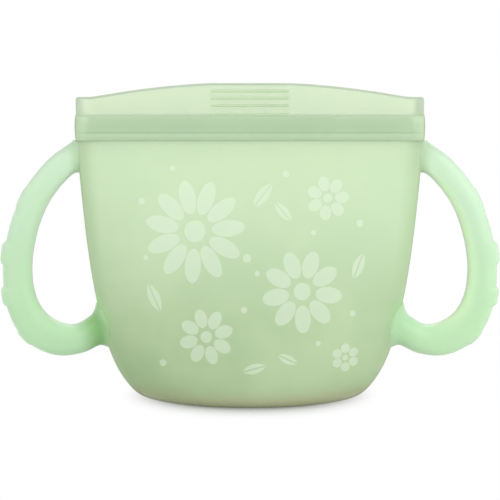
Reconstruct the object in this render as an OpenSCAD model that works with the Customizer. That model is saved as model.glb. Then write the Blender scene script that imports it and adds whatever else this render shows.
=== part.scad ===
// Toddler snack container: a soft silicone cup with an oval base, a press zip along
// the mouth, two grip lips above the zip and a loop handle moulded on each side.
// The front and back walls fold outward near the base to open the mouth.

/* [Body] */
// Width of the cup over the zip, in mm
mouth_width = 121; // [116:0.5:130]
// Height of the side walls up to the underside of the zip, in mm
wall_height = 90.3; // [86:0.1:94]
// Depth of the flat foot, front to back, in mm
foot_depth = 44; // [40:1:50]
// Front to back taper of the two big walls, in mm for each mm of height
wall_taper = 0.337; // [0.32:0.001:0.35]
// Thickness of the soft wall, in mm
wall = 1.7; // [1.4:0.1:2]
// Thickness of the floor, in mm
floor_thick = 2.2; // [1.6:0.1:3]
// Height of the fold at which the big walls bend outward, in mm
fold_height = 20; // [18:1:24]
// Width of the rounded side strip that stays still, in mm
side_strip = 5.2; // [4.8:0.1:6]
// Gap between a moving wall and what it closes against, in mm
slit = 0.3; // [0.3:0.05:0.5]

/* [Zip] */
// Height of the zip band, in mm
band_height = 9; // [8:0.5:10]
// How far the band stands out from the middle plane, in mm
band_depth = 3.4; // [3.2:0.1:4]
// How far the welded ends stand out past the side walls, in mm
end_bulge = 0.5; // [0.2:0.1:0.8]
// Depth of the press rib, in mm
rib_depth = 1.5; // [1:0.1:1.6]
// Half height of the press rib at its root, in mm
rib_half = 1.3; // [1:0.1:1.5]
// Room between the rib and its channel, above and below, in mm
rib_room = 0.6; // [0.55:0.05:0.8]

/* [Lips] */
// Thickness of each lip, in mm
lip_thick = 1.6; // [1.2:0.1:1.8]
// Height of a lip at its corners, above the band, in mm
lip_corner = 6; // [4:0.1:7]
// How much higher a lip is in the middle, in mm
lip_rise = 4.8; // [3:0.1:7]
// Length of the grip ribs, in mm
grip_length = 28; // [20:1:40]
// Number of grip ribs on each lip
grip_count = 4; // [3:1:4]
// Distance between the grip ribs, in mm
grip_pitch = 2.5; // [2.2:0.1:2.6]

/* [Handles] */
// How far the middle line of a handle stands out past the mouth, in mm
handle_reach = 21.25; // [19:0.25:23]
// Thickness of a handle seen from the front, in mm
handle_thick = 10; // [9:0.5:11]
// Depth of a handle, front to back, in mm
handle_depth = 9.5; // [8:0.5:11]
// How far the chewing pads stand out, in mm
pad_height = 1.1; // [0.3:0.1:1.2]

/* [Hidden] */
mouth_half = mouth_width / 2;
band_top = wall_height + band_height;
// Half width of the rigid run of the zip, inside the two welds.
run_half = mouth_half - side_strip;

// Side outline: a slight lean, a sweep that grows downward and a rounded bottom corner.
side_lean = 0.082;
side_sweep = 4.3;
corner_top = 17;
corner_in = 5.4;
sweep_span = wall_height - corner_top;
function round_in(z, top) = z < top ? 1 - sqrt(1 - pow(1 - z / top, 2)) : 0;
function half_width(z) = mouth_half - side_lean * (wall_height - z)
    - side_sweep * pow(max(0, wall_height - z) / sweep_span, 3.7)
    - corner_in * round_in(z, corner_top);

// Front and back outline: straight taper that eases into the zip, rounded to the foot.
mouth_depth = 2.3;
ease_height = wall_height - 2.5;
ease = 3;
belly_top = 27;
function taper_depth(z) = mouth_depth
    + wall_taper * (ease_height - z + sqrt(pow(ease_height - z, 2) + ease * ease)) / 2;
belly_in = taper_depth(0) - foot_depth / 2;
function half_depth(z) = taper_depth(z) - belly_in * round_in(z, belly_top);

// The foot is an ellipse, and each level above it is squarer, up to the mouth.
foot_square = 2;
mouth_square = 6;
function squareness(z) = foot_square
    + (mouth_square - foot_square) * pow(z / wall_height, 3);
function cut_x(z) = half_width(z) - side_strip;
function wall_y(x, a, b, n) = b * pow(max(0, 1 - pow(abs(x) / a, n)), 1 / n);

// Points of a level. The inside of the wall is the same curve with in = wall.
front_steps = 20;
strip_steps = 8;
function sheet_pts(z, in, edge) = let (a = half_width(z) - in, b = half_depth(z) - in)
    [for (i = [0 : front_steps]) let (x = (2 * i / front_steps - 1) * (cut_x(z) - edge))
        [x, -wall_y(x, a, b, squareness(z)), z]];
function strip_pts(z, in) =
    let (a = half_width(z) - in, b = half_depth(z) - in, n = squareness(z))
    let (reach = acos(pow(cut_x(z) / a, n / 2)))
    [for (i = [0 : strip_steps]) let (t = reach * (2 * i / strip_steps - 1))
        [a * pow(cos(t), 2 / n), b * sign(t) * pow(abs(sin(t)), 2 / n), z]];
function inner_pts(pts) = [for (i = [1 : len(pts) - 2]) pts[i]];
function turned(pts) = [for (p = pts) [-p[0], -p[1], p[2]]];
function ring(z, in) = concat(sheet_pts(z, in, 0), inner_pts(strip_pts(z, in)),
    turned(sheet_pts(z, in, 0)), turned(inner_pts(strip_pts(z, in))));

foot_levels = [for (k = [0 : 7]) fold_height * pow(k / 7, 1.9)];
wall_levels = [for (k = [0 : 11]) fold_height + (wall_height - fold_height) * k / 11];

// Closed solid through rings of the same count; each ring runs the same way round.
module loft(rings) {
    n = len(rings[0]);
    m = len(rings);
    pts = [for (r = rings) for (p = r) p];
    side = [for (j = [0 : m - 2]) for (i = [0 : n - 1]) let (k = (i + 1) % n)
        each [[j * n + i, (j + 1) * n + k, j * n + k],
              [j * n + i, (j + 1) * n + i, (j + 1) * n + k]]];
    polyhedron(pts, concat(side, [[for (i = [0 : n - 1]) i]],
        [[for (i = [n - 1 : -1 : 0]) (m - 1) * n + i]]), convexity = 6);
}

// Bent sheet: an outer and an inner line of points at each level, closed on all sides.
module sheet_solid(outer, inner) {
    n = len(outer[0]);
    m = len(outer);
    pts = concat([for (r = outer) for (p = r) p], [for (r = inner) for (p = r) p]);
    h = n * m;
    faces = concat(
        [for (j = [0 : m - 2]) for (i = [0 : n - 2]) let (a = j * n + i, b = a + n)
            each [[a, b + 1, a + 1], [a, b, b + 1],
                  [h + a, h + a + 1, h + b + 1], [h + a, h + b + 1, h + b]]],
        [for (i = [0 : n - 2]) let (t = (m - 1) * n + i)
            each [[i, i + 1, h + i + 1], [i, h + i + 1, h + i],
                  [t, h + t + 1, t + 1], [t, h + t, h + t + 1]]],
        [for (j = [0 : m - 2]) let (a = j * n, b = a + n, c = a + n - 1, d = c + n)
            each [[a, h + a, h + b], [a, h + b, b],
                  [c, h + d, h + c], [c, d, h + d]]]);
    polyhedron(pts, faces, convexity = 6);
}

// Outer shape of one side up to the zip, filled inward, used to trim the handle roots.
module side_core() {
    loft([for (z = concat(foot_levels, [for (k = [1 : 11]) wall_levels[k]]))
        let (s = strip_pts(z, 0), y = s[strip_steps][1])
        concat([[mouth_half / 3, -y, z]], s, [[mouth_half / 3, y, z]])]);
}

module bowl() {
    inside = [for (k = [7 : -1 : 0]) let (z = floor_thick
        + (fold_height - floor_thick) * pow(k / 7, 1.9)) ring(z, wall)];
    color("DarkSeaGreen")
        loft(concat([for (z = foot_levels) ring(z, 0)], inside));
}

module right_side_wall() {
    color("MediumSeaGreen")
        sheet_solid([for (z = wall_levels) strip_pts(z, 0)],
                    [for (z = wall_levels) strip_pts(z, wall)]);
}

module left_side_wall() {
    mirror([1, 0, 0]) right_side_wall();
}

// A big wall starts a slit above the fold, so that it clears the bowl as it swings.
function sheet_level(k) = k == 0 ? fold_height + slit : wall_levels[k];

module front_wall() {
    color("PaleGreen")
        sheet_solid([for (k = [0 : 11]) sheet_pts(sheet_level(k), 0, slit)],
                    [for (k = [0 : 11]) sheet_pts(sheet_level(k), wall, slit)]);
}

module back_wall() {
    mirror([0, 1, 0]) front_wall();
}

// Zip. The band has a round bead low down, a groove and a flat bar; outer side only.
band_low = mouth_depth + 0.4;
band_outline = [
    [band_low, 0], [band_depth - 0.2, 0.3], [band_depth + 0.1, 1],
    [band_depth + 0.1, 1.8], [band_depth - 0.2, 2.5], [band_depth - 0.4, 2.8],
    [band_depth - 0.15, 3.1], [band_depth, 3.5], [band_depth, band_height - 1.1],
    [band_depth - 0.25, band_height - 0.5], [band_depth - 1, band_height]];
half_slit = slit / 2;
zip_z = wall_height + band_height * 0.58;
seat_half = rib_half + rib_room + 0.8;
seat_depth = rib_depth + 0.9;

// Profiles are drawn as [distance from the middle plane, height] and run along X.
module along_zip(length) {
    rotate([90, 0, 90]) linear_extrude(length, center = true) children();
}

module band_profile() {
    translate([0, wall_height])
        polygon(concat([[half_slit, 0]], band_outline, [[half_slit, band_height]]));
}

module front_zip_band() {
    color("SeaGreen") mirror([0, 1, 0]) along_zip(2 * run_half - 2 * slit) band_profile();
}

module back_zip_band() {
    color("SeaGreen") along_zip(2 * run_half - 2 * slit) difference() {
        band_profile();
        translate([half_slit - 1, zip_z - seat_half]) square([seat_depth + 1, 2 * seat_half]);
    }
}

module zip_rib() {
    color("LightGreen") along_zip(2 * run_half - 2 * slit - 1)
        polygon([[-half_slit, zip_z - rib_half], [rib_depth - 0.4, zip_z - rib_half + 0.35],
            [rib_depth - half_slit, zip_z - rib_half + 0.75],
            [rib_depth - half_slit, zip_z + rib_half - 0.75],
            [rib_depth - 0.4, zip_z + rib_half - 0.35], [-half_slit, zip_z + rib_half]]);
}

module zip_channel() {
    color("LightGreen") along_zip(2 * run_half - 2 * slit) translate([half_slit, zip_z])
        difference() {
            translate([0, -seat_half]) square([seat_depth, 2 * seat_half]);
            polygon([[-1, -rib_half - rib_room - 0.3], [0, -rib_half - rib_room],
                [rib_depth + 0.3, -rib_half - 0.1], [rib_depth + 0.3, rib_half + 0.1],
                [0, rib_half + rib_room], [-1, rib_half + rib_room + 0.3]]);
        }
}

// Welds at both ends of the zip, where front and back are one piece up to the corner.
corner_round = 0.8;
module rounded_tab(length, height, r) {
    union() {
        square([length - r, height]);
        square([length, height - r]);
        translate([length - r, height - r]) circle(r, $fn = 32);
    }
}

module end_plan(length, depth, r) {
    union() {
        translate([-1, -depth]) square([length - r + 1, 2 * depth]);
        translate([-1, r - depth]) square([length + 1, 2 * (depth - r)]);
        for (s = [-1, 1]) translate([length - r, s * (depth - r)]) circle(r, $fn = 32);
    }
}

module right_zip_end() {
    end_length = side_strip + end_bulge;
    color("DarkGreen") union() {
        intersection() {
            translate([run_half + end_length / 2, 0]) along_zip(end_length) union() {
                band_profile();
                mirror([1, 0]) band_profile();
                translate([-half_slit, wall_height]) square([slit, band_height]);
            }
            rotate([90, 0, 0]) translate([run_half, wall_height + band_height / 2])
                linear_extrude(4 * band_depth, center = true)
                    polygon(concat([[-1, -band_height / 2 - 1]],
                        [for (t = [-90 : 22.5 : 90])
                            [side_strip + end_bulge * cos(t), band_height / 2 * sin(t)]],
                        [[-1, band_height / 2 + 1]]));
            translate([run_half, 0, wall_height - 1]) linear_extrude(band_height + 2)
                end_plan(end_length, band_depth + 0.1, 2.4);
        }
        translate([run_half, 0, band_top]) rotate([90, 0, 0])
            linear_extrude(2 * lip_thick + slit, center = true)
                rounded_tab(side_strip, lip_corner, corner_round);
    }
}

module left_zip_end() {
    mirror([1, 0, 0]) right_zip_end();
}

// Lips. The top edge climbs from the corner in a soft S and is level in the middle.
lip_run = 0.78 * mouth_half;
lip_steps = 14;
function climb(u) = 1 - pow(1 - u * u / (u + 0.03), 1.8);
module lip_outline() {
    half = run_half - slit;
    start = mouth_half - side_strip + 0.4;
    right = [for (i = [0 : lip_steps]) let (x = half - (half - 8) * i / lip_steps)
        let (u = min(1, max(0, (start - x) / lip_run)))
        [x, lip_corner + lip_rise * min(1, climb(u) * 1.03)]];
    left = [for (i = [lip_steps : -1 : 0]) [-right[i][0], right[i][1]]];
    polygon(concat([[-half, 0], [half, 0]], right, left));
}

module front_lip() {
    color("Honeydew") translate([0, -half_slit, band_top]) rotate([90, 0, 0])
        linear_extrude(lip_thick) lip_outline();
}

module back_lip() {
    mirror([0, 1, 0]) front_lip();
}

grip_height = 0.9;
grip_proud = 0.5;
module front_grip_ribs() {
    lowest = band_top + 0.85 * grip_height;
    color("MediumAquamarine")
        for (k = [0 : grip_count - 1])
            translate([0, -half_slit - lip_thick, lowest + k * grip_pitch]) rotate([90, 0, 0])
                linear_extrude(grip_proud) union() {
                    square([grip_length - grip_height, grip_height], center = true);
                    for (s = [-1, 1]) translate([s * (grip_length - grip_height) / 2, 0])
                        circle(d = grip_height, $fn = 24);
                }
}

module back_grip_ribs() {
    mirror([0, 1, 0]) front_grip_ribs();
}

// Handle. Hand-set stations along the loop, as shares of the handle's sizes:
// how far out past the mouth, height, thickness seen from the front, depth.
handle_line = [
    [-0.15, 0.962, 0.96, 0.36], [0.03, 0.936, 0.94, 0.44], [0.32, 0.885, 0.93, 0.7],
    [0.65, 0.788, 0.95, 0.93], [0.87, 0.671, 0.97, 1], [0.995, 0.537, 1.01, 1],
    [0.995, 0.421, 1.05, 1], [0.895, 0.327, 1.14, 1], [0.685, 0.256, 1.22, 1],
    [0.36, 0.216, 1.19, 1], [0.02, 0.216, 1.06, 1.05], [-0.275, 0.248, 1.08, 1.2],
    [-0.61, 0.286, 1.68, 1.6]];
handle_sides = 14;
// Rings along the loop, closer together where the chewing pads are.
handle_stops = concat([for (t = [0.02 : 0.4 : 2.8]) t], [for (t = [2.9 : 0.09 : 8.4]) t],
    [for (t = [8.6 : 0.34 : 12]) t]);
// Places of the chewing pads, in stations along the loop, their shares of the full
// height and their half length.
pad_places = [3.3, 4.9, 6.25, 7.85];
pad_shares = [0.3, 1, 1, 0.4];
pad_half = 0.34;

function station(k) = handle_line[min(max(k, 0), len(handle_line) - 1)];
function between(t) = let (i = min(floor(t), len(handle_line) - 2), f = t - i)
    let (a = station(i - 1), b = station(i), c = station(i + 1), d = station(i + 2))
    0.5 * (2 * b + (c - a) * f + (2 * a - 5 * b + 4 * c - d) * f * f
        + (3 * b - a - 3 * c + d) * f * f * f);
function flat_top(u) = u >= 1 ? 0 : min(1, 1.8 * (1 - u * u));
function pad_at(t) = pad_height * max([for (k = [0 : len(pad_places) - 1])
    pad_shares[k] * flat_top(abs(t - pad_places[k]) / pad_half)]);
function bar_side(v, p) = sign(v) * pow(abs(v), p);
function handle_spot(t) = let (c = between(t))
    [mouth_half + handle_reach * c[0], wall_height * c[1]];
function handle_ring(t) =
    let (c = between(t), m = handle_spot(t), d = handle_spot(t + 0.01) - handle_spot(t - 0.01))
    let (nx = -d[1] / norm(d), nz = d[0] / norm(d))
    [for (i = [0 : handle_sides - 1]) let (q = 360 * i / handle_sides)
        let (out = bar_side(cos(q), 0.86), side = bar_side(sin(q), 0.86))
        let (r = out * handle_thick * c[2] / 2 + pad_at(t) * max(0, out))
        [m[0] + nx * r, side * handle_depth * c[3] / 2, m[1] + nz * r]];

module right_handle() {
    color("YellowGreen") difference() {
        loft([for (t = handle_stops) handle_ring(t)]);
        side_core();
        translate([0, -handle_depth, wall_height])
            cube([2 * mouth_half, 2 * handle_depth, band_height]);
    }
}

module left_handle() {
    mirror([1, 0, 0]) right_handle();
}

bowl();
left_side_wall();
right_side_wall();
left_zip_end();
right_zip_end();
left_handle();
right_handle();
front_wall();
front_zip_band();
zip_rib();
front_lip();
front_grip_ribs();
back_wall();
back_zip_band();
zip_channel();
back_lip();
back_grip_ribs();
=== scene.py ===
import math

import bpy
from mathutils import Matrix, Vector


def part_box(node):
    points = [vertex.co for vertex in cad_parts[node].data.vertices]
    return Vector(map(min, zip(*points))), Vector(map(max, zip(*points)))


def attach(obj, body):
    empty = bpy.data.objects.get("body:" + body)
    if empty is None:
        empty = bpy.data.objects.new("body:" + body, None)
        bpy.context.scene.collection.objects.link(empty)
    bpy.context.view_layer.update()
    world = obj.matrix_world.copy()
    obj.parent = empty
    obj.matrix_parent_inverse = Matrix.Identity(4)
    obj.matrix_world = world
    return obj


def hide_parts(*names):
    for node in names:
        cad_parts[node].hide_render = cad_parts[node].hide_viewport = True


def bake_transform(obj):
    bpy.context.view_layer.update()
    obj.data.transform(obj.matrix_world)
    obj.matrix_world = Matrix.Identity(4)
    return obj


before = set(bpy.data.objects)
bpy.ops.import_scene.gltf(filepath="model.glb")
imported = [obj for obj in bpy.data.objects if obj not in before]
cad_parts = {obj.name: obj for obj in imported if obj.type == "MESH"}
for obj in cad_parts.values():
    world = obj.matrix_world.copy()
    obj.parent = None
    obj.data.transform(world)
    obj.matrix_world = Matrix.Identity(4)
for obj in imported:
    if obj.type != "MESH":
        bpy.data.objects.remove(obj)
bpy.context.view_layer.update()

bpy.ops.object.select_all(action="DESELECT")

mm = 0.001  # sizes below are in millimetres, meshes are in metres
hair = 0.01  # millimetres, less than any size that shows
scene = bpy.context.scene
scene.view_settings.view_transform = "Standard"

# Camera, from the height and distance that the photograph was taken from
shot = {"elevation": 10, "distance": 700, "target": (0.03, 0, 51.35), "widthAtTarget": 176.1,
        "sensor": 36}


def placeCamera():
    tilt = math.radians(shot["elevation"])
    back = Vector((0, -math.cos(tilt), math.sin(tilt)))
    place = (Vector(shot["target"]) + back * shot["distance"]) * mm
    bpy.ops.object.camera_add(location=place, rotation=(math.pi / 2 - tilt, 0, 0))
    camera = bpy.context.object
    camera.name = "photoCamera"
    camera.data.sensor_width = shot["sensor"]
    camera.data.lens = shot["sensor"] * shot["distance"] / shot["widthAtTarget"]
    camera.data.clip_start = 0.01
    camera.data.clip_end = 20
    scene.camera = camera


placeCamera()
print("camera placed")

# Form of the cup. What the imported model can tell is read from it, so both stay in step.
form = {
    "wall": 1.7,
    "floor": 2.2,
    "footDepth": 44,
    "taper": 0.337,
    "sideStrip": 5.2,
    "sideLean": 0.082,
    "sideSweep": 4.3, "sweepPower": 3.7,
    "cornerTop": 17,
    "cornerIn": 5.4,
    "mouthDepth": 2.3,
    "ease": 3, "easeBelow": 2.5,
    "bellyTop": 27,
    "footSquare": 2, "mouthSquare": 6, "squarePower": 3,
    "halfSlit": 0.15,
    "seamStep": 0.12,
}
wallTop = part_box("front_wall")[1].z / mm
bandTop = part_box("front_zip_band")[1].z / mm
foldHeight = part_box("bowl")[1].z / mm
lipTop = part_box("front_lip")[1].z / mm
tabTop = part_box("right_zip_end")[1].z / mm
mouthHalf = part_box("right_side_wall")[1].x / mm
runHalf = mouthHalf - form["sideStrip"]


def smoothStep(low, high, value):
    t = min(1, max(0, (value - low) / (high - low)))
    return t * t * (3 - 2 * t)


def roundIn(z, top):
    return 1 - math.sqrt(1 - (1 - z / top) ** 2) if z < top else 0


def halfWidth(z):
    down = max(0, wallTop - z)
    sweep = form["sideSweep"] * (down / (wallTop - form["cornerTop"])) ** form["sweepPower"]
    return mouthHalf - form["sideLean"] * down - sweep - form["cornerIn"] * roundIn(z, form["cornerTop"])


def taperDepth(z):
    up = wallTop - form["easeBelow"] - z
    return form["mouthDepth"] + form["taper"] * (up + math.hypot(up, form["ease"])) / 2


def halfDepth(z):
    return taperDepth(z) - (taperDepth(0) - form["footDepth"] / 2) * roundIn(z, form["bellyTop"])


def squareness(z):
    rise = (z / wallTop) ** form["squarePower"]
    return form["footSquare"] + (form["mouthSquare"] - form["footSquare"]) * rise


def ovalAt(z, inset):
    return halfWidth(z) - inset, halfDepth(z) - inset, squareness(z)


def wallY(x, z, inset=0):
    a, b, n = ovalAt(z, inset)
    return b * max(0, 1 - (abs(x) / a) ** n) ** (1 / n)


def wallX(y, z, inset=0):
    a, b, n = ovalAt(z, inset)
    return a * max(0, 1 - (abs(y) / b) ** n) ** (1 / n)


def cutX(z):
    return halfWidth(z) - form["sideStrip"]


# Modelling helpers
def gridPiece(name, columns, rows, place):
    bpy.ops.mesh.primitive_grid_add(x_subdivisions=columns, y_subdivisions=rows, size=1)
    piece = bpy.context.object
    piece.name = name
    for vertex in piece.data.vertices:  # each vertex of the flat grid moves to its place
        column = round((vertex.co.x + 0.5) * columns)
        row = round((vertex.co.y + 0.5) * rows)
        vertex.co = Vector(place(column, row)) * mm
    return piece


def selectOnly(piece):
    bpy.ops.object.select_all(action="DESELECT")
    bpy.context.view_layer.objects.active = piece
    piece.select_set(True)


def closeUp(piece, smoothAngle=35):
    selectOnly(piece)
    bpy.ops.object.mode_set(mode="EDIT")
    bpy.ops.mesh.select_mode(type="VERT")
    bpy.ops.mesh.select_all(action="SELECT")
    bpy.ops.mesh.remove_doubles(threshold=0.003 * mm)
    bpy.ops.mesh.select_all(action="SELECT")
    bpy.ops.mesh.fill_holes(sides=0)
    bpy.ops.mesh.select_all(action="SELECT")
    bpy.ops.mesh.normals_make_consistent(inside=False)
    bpy.ops.mesh.select_all(action="DESELECT")
    bpy.ops.object.mode_set(mode="OBJECT")
    bpy.ops.object.shade_smooth_by_angle(angle=math.radians(smoothAngle))
    return piece


def extrudeOutline(name, outline, start, end, columns):
    # outline: y and z of a closed profile, extruded along X from start to end
    bpy.ops.mesh.primitive_circle_add(vertices=len(outline), radius=1, fill_type="NGON")
    piece = bpy.context.object
    piece.name = name
    for vertex, (y, z) in zip(piece.data.vertices, outline):
        vertex.co = Vector((start, y, z)) * mm
    step = (end - start) / columns * mm
    bpy.ops.object.mode_set(mode="EDIT")
    bpy.ops.mesh.select_all(action="SELECT")
    for _ in range(columns):
        bpy.ops.mesh.extrude_region_move(TRANSFORM_OT_translate={"value": (step, 0, 0)})
    bpy.ops.object.mode_set(mode="OBJECT")
    return piece


def catmull(p, q, r, s, f):
    return 0.5 * (2 * q + (r - p) * f + (2 * p - 5 * q + 4 * r - s) * f * f
                  + (3 * q - p - 3 * r + s) * f ** 3)


def curveAt(points, t):
    k = min(max(math.floor(t), 0), len(points) - 2)
    near = [points[min(max(k + i, 0), len(points) - 1)] for i in (-1, 0, 1, 2)]
    return [catmull(*parts, t - k) for parts in zip(*near)]


def curveThrough(points, steps):
    count = (len(points) - 1) * steps
    return [tuple(curveAt(points, i / steps)) for i in range(count + 1)]


def runShare(k, count, length):
    # Share of a run of count steps. The first and last are short, so that the shading carries on
    # into the next piece of the moulding.
    short = min(form["seamStep"] / max(length, 0.01), 0.5 / count)
    if 0 < k < count:
        return short + (1 - 2 * short) * (k - 1) / (count - 2)
    return k / count


def onOuterSkin(x, y, z):
    half = form["wall"] / 2
    return abs(x) > halfWidth(min(z, wallTop)) - half or abs(y) > wallY(x, min(z, wallTop), half)


def clearJoints(piece, isJoint):
    # Faces where one piece of the moulding meets the next let light through, as one piece would
    piece.data.materials.append(materials["joint"])
    for polygon in piece.data.polygons:
        corners = [piece.data.vertices[k].co / mm for k in polygon.vertices]
        if isJoint(corners):
            polygon.material_index = 1


def crossesWall(corners):
    return len({onOuterSkin(*corner) for corner in corners}) > 1


def endsHalf(corners):
    middle = all(abs(corner.x) < hair for corner in corners)
    return middle or all(abs(abs(corner.x) - runHalf) < hair for corner in corners)


def paint(piece, name, valueAt):
    values = piece.data.attributes.new(name, "FLOAT", "POINT")
    for vertex, spot in zip(piece.data.vertices, values.data):
        spot.value = valueAt(*(vertex.co / mm))


# Painted shade toward the sides, where the wall turns away: the colour is painted darker there, more so
# higher up, and painted light lifts it low on the right. The rim is a thin dark line painted at the very
# side, painted shade.
sideShade = {"run": 7, "low": 0.72, "more": 0.5, "moreHeights": (40, 75),
             "lit": 0.75, "litHeights": (52, 32), "rim": 1.1}


def inFromSide(x, z):
    return halfWidth(min(z, wallTop)) - abs(x)


def paintedSideShade(x, y, z):
    turned = smoothStep(sideShade["run"], 0, inFromSide(x, z))
    lit = sideShade["lit"] * smoothStep(*sideShade["litHeights"], z) if x > 0 else 0
    shadeStrength = sideShade["low"] + sideShade["more"] * smoothStep(*sideShade["moreHeights"], z)
    return turned * shadeStrength * (1 - lit)


# Painted shade: a thin dark line along the very side of the cup
def outlineRim(x, y, z):
    return smoothStep(sideShade["rim"], 0, inFromSide(x, z))


# Materials
def emptyTree(owner):
    owner.use_nodes = True
    owner.node_tree.nodes.clear()
    return owner.node_tree


def feed(tree, node, sockets):
    for key, value in sockets.items():
        if hasattr(value, "is_linked"):
            tree.links.new(value, node.inputs[key])
        else:
            node.inputs[key].default_value = value


def addNode(tree, kind, sockets=None, **settings):
    node = tree.nodes.new("ShaderNode" + kind)
    for key, value in settings.items():
        setattr(node, key, value)
    feed(tree, node, sockets or {})
    return node


def calc(tree, operation, *values):
    return addNode(tree, "Math", dict(enumerate(values)), operation=operation).outputs[0]


def ramp(tree, value, low, high, start=0, end=1, kind="SMOOTHSTEP"):
    sockets = {"Value": value, "From Min": low, "From Max": high, "To Min": start, "To Max": end}
    return addNode(tree, "MapRange", sockets, interpolation_type=kind).outputs["Result"]


def mixColour(tree, share, first, second):
    # 0, 6, 7 and 2 are the factor, colours and result of a Mix node that mixes colours
    return addNode(tree, "Mix", {0: share, 6: first, 7: second}, data_type="RGBA").outputs[2]


def mixShader(tree, share, first, second):
    return addNode(tree, "MixShader", {0: share, 1: first, 2: second}).outputs[0]


def readPaint(tree, name):
    return addNode(tree, "Attribute", attribute_name=name).outputs["Fac"]


def newGroup(name, inputs, outputs):
    tree = bpy.data.node_groups.new(name, "ShaderNodeTree")
    for label, kind, value in inputs:
        socket = tree.interface.new_socket(name=label, in_out="INPUT", socket_type="NodeSocket" + kind)
        if value is not None:
            socket.default_value = value
    for label, kind in outputs:
        tree.interface.new_socket(name=label, in_out="OUTPUT", socket_type="NodeSocket" + kind)
    return tree, tree.nodes.new("NodeGroupInput").outputs, tree.nodes.new("NodeGroupOutput").inputs


def useGroup(tree, group, sockets):
    node = tree.nodes.new("ShaderNodeGroup")
    node.node_tree = group
    feed(tree, node, sockets)
    return node.outputs


def makeCloudGroup():
    # Slow drift of thickness and pigment through the moulding
    tree, given, result = newGroup(
        "siliconeClouds",
        [("Place", "Vector", None), ("Scale", "Float", 30), ("Streaks", "Float", 4)],
        [("Clouds", "Float"), ("Flow", "Float")])
    clouds = addNode(tree, "TexNoise", {"Vector": given["Place"], "Scale": given["Scale"],
                                        "Detail": 3, "Roughness": 0.55})
    tree.links.new(ramp(tree, clouds.outputs["Fac"], 0.3, 0.7), result["Clouds"])
    stretch = addNode(tree, "VectorMath", {0: given["Place"], 1: (1, 1, 0.25)}, operation="MULTIPLY")
    scale = calc(tree, "MULTIPLY", given["Scale"], given["Streaks"])
    flow = addNode(tree, "TexNoise", {"Vector": stretch.outputs[0], "Scale": scale, "Detail": 2})
    tree.links.new(ramp(tree, flow.outputs["Fac"], 0.35, 0.65), result["Flow"])
    return tree


def makeSatinGroup():
    # Satin face of a blasted mould: fine grain over a slight waviness
    tree, given, result = newGroup(
        "satinFace",
        [("Place", "Vector", None), ("Grain", "Float", 2600), ("Waves", "Float", 90),
         ("Wave Share", "Float", 0.6), ("Strength", "Float", 0.15)],
        [("Normal", "Vector")])
    grain = addNode(tree, "TexNoise", {"Vector": given["Place"], "Scale": given["Grain"], "Detail": 2})
    waves = addNode(tree, "TexNoise", {"Vector": given["Place"], "Scale": given["Waves"], "Detail": 1})
    height = calc(tree, "MULTIPLY_ADD", waves.outputs["Fac"], given["Wave Share"], grain.outputs["Fac"])
    bump = addNode(tree, "Bump", {"Height": height, "Strength": given["Strength"], "Distance": 0.0001})
    tree.links.new(bump.outputs["Normal"], result["Normal"])
    return tree


def makeEdgeGroup():
    # Rubbed and slightly paler crests, broken up by noise. Edge is painted on each piece.
    tree, given, result = newGroup(
        "rubbedEdges", [("Place", "Vector", None), ("Edge", "Float", 0)], [("Mask", "Float")])
    noise = addNode(tree, "TexNoise", {"Vector": given["Place"], "Scale": 120, "Detail": 3})
    broken = calc(tree, "MULTIPLY", given["Edge"], ramp(tree, noise.outputs["Fac"], 0.35, 0.6))
    tree.links.new(broken, result["Mask"])
    return tree


# Forms of the printed motifs. A daisy's are shares of its size, the others are in millimetres.
motifForm = {
    "petalMiddle": 0.66, "petalHalf": 0.33, "petalFullness": 0.82, "petalEdge": (0.94, 1.04),
    "discEdge": (0.2, 0.215),
    "veinEdge": (0.18, 0.34), "inkEdge": 0.2,
}


def newMotif(name, *inputs):
    places = [(label, "Float", 0) for label in ("X", "Z", "Centre X", "Centre Z")]
    sizes = [(label, "Float", value) for label, value in inputs]
    tree, given, result = newGroup(name, places + sizes, [("Mask", "Float")])
    dx = calc(tree, "SUBTRACT", given["X"], given["Centre X"])
    dz = calc(tree, "SUBTRACT", given["Z"], given["Centre Z"])
    return tree, given, result, dx, dz


def lengthOf(tree, dx, dz):
    squares = calc(tree, "ADD", calc(tree, "MULTIPLY", dx, dx), calc(tree, "MULTIPLY", dz, dz))
    return calc(tree, "SQRT", squares)


def makeDaisyGroup():
    # Separate oval petals round a small disc
    tree, given, result, dx, dz = newMotif("printedDaisy", ("Size", 10), ("Petals", 8), ("Turn", 0))
    reach = lengthOf(tree, dx, dz)
    turn = calc(tree, "ADD", calc(tree, "ARCTAN2", dz, dx), given["Turn"])
    sector = calc(tree, "DIVIDE", 2 * math.pi, given["Petals"])
    half = calc(tree, "MULTIPLY", sector, 0.5)
    fold = calc(tree, "SUBTRACT", calc(tree, "FLOORED_MODULO", turn, sector), half)
    share = calc(tree, "DIVIDE", reach, given["Size"])
    along = calc(tree, "MULTIPLY", share, calc(tree, "COSINE", fold))
    across = calc(tree, "MULTIPLY", share, calc(tree, "SINE", fold))
    middle = motifForm["petalMiddle"]
    petalWidth = calc(tree, "MULTIPLY", calc(tree, "TANGENT", half), middle * motifForm["petalFullness"])
    a = calc(tree, "DIVIDE", calc(tree, "SUBTRACT", along, middle), motifForm["petalHalf"])
    b = calc(tree, "DIVIDE", across, petalWidth)
    oval = calc(tree, "ADD", calc(tree, "MULTIPLY", a, a), calc(tree, "MULTIPLY", b, b))
    petals = ramp(tree, oval, *motifForm["petalEdge"], 1, 0)
    disc = ramp(tree, share, *motifForm["discEdge"], 1, 0)
    tree.links.new(calc(tree, "MAXIMUM", petals, disc), result["Mask"])
    return tree


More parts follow.
